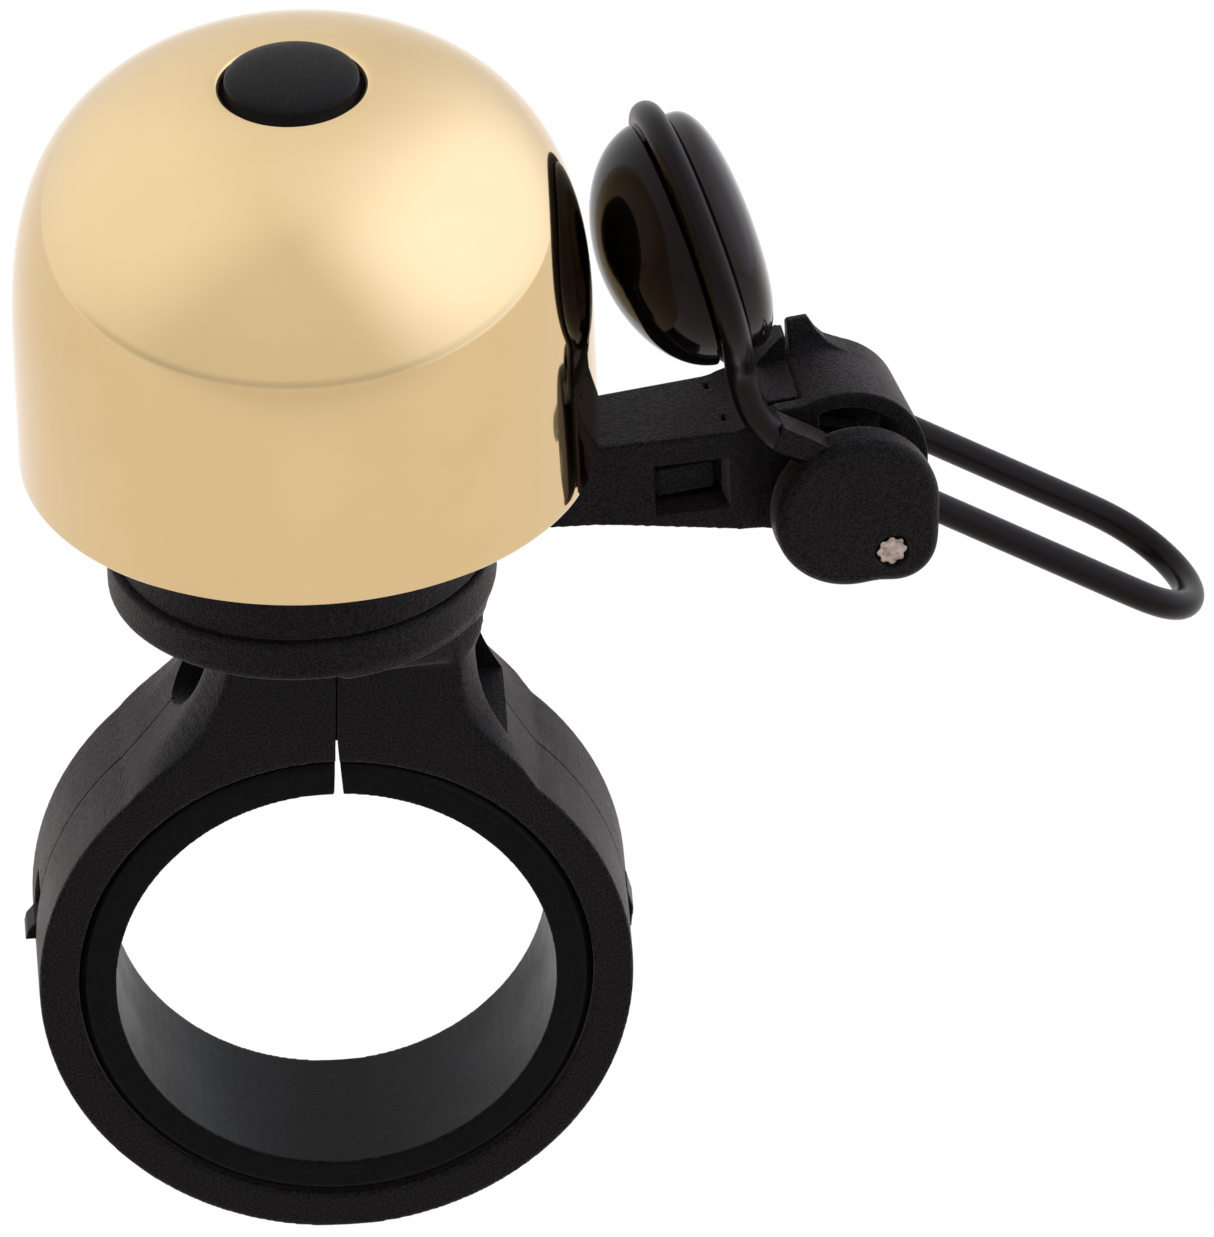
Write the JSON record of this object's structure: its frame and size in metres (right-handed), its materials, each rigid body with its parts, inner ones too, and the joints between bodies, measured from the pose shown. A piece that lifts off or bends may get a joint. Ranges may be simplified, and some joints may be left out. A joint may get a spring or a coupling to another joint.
{
  "type": "bicycle bell",
  "caption": "Small polished brass bicycle bell on a split handlebar clamp, with a sprung wire thumb lever that swings a round black striker.",
  "frame": {"origin": "centre of the handlebar bore, at the middle of the clamp width", "axes": "+Y along the handlebar bore, +Z from the bar up through the bell, +X towards the lever arm"},
  "size_m": [0.0606, 0.0292, 0.0664],
  "materials": {
    "polished_brass": "polished",
    "satin_black": "satin",
    "steel": "brushed",
    "pin_steel": "cut steel, a little dull",
    "spring_steel": "drawn wire",
    "soft_black": "soft",
    "turned_aluminium": "turned",
    "insert_brass": "knurled",
    "textured_black": "fine spark texture",
    "liner_black": "smooth satin",
    "coated_wire": "satin coating",
    "gloss_black": "gloss"
  },
  "bodies": {
    "clamp": {"clamp_base": "textured_black", "bar_liner": "liner_black", "clamp_screw": "steel", "clamp_washer": "steel", "clamp_nut": "steel", "thread_insert": "insert_brass", "friction_washer": "steel", "bell_post": "turned_aluminium", "seat_washer": "soft_black", "bell_dome": "polished_brass", "bell_screw": "steel", "crown_cap": "satin_black"},
    "arm": {"arm_bracket": "textured_black", "pivot_head": "textured_black", "latch_block": "textured_black", "return_spring": "spring_steel"},
    "lever": {"pivot_pin": "pin_steel", "spring_sleeve": "textured_black", "near_cheek": "textured_black", "far_cheek": "textured_black", "lever_wire": "coated_wire", "striker_front": "gloss_black", "striker_back": "gloss_black"}
  },
  "joints": [
    {"name": "arm_swivel", "type": "hinge", "parent": "clamp", "child": "arm", "pos_m": [0, 0, 0.025], "axis": [0, 0, 1], "continuous": true},
    {"name": "lever_pivot", "type": "hinge", "parent": "arm", "child": "lever", "pos_m": [0.02787, 0.00643, 0.0199], "axis": [-0.225, 0.9744, 0], "range_deg": [-1.9, 20], "stiffness_Nm_per_rad": 0.12}
  ]
}
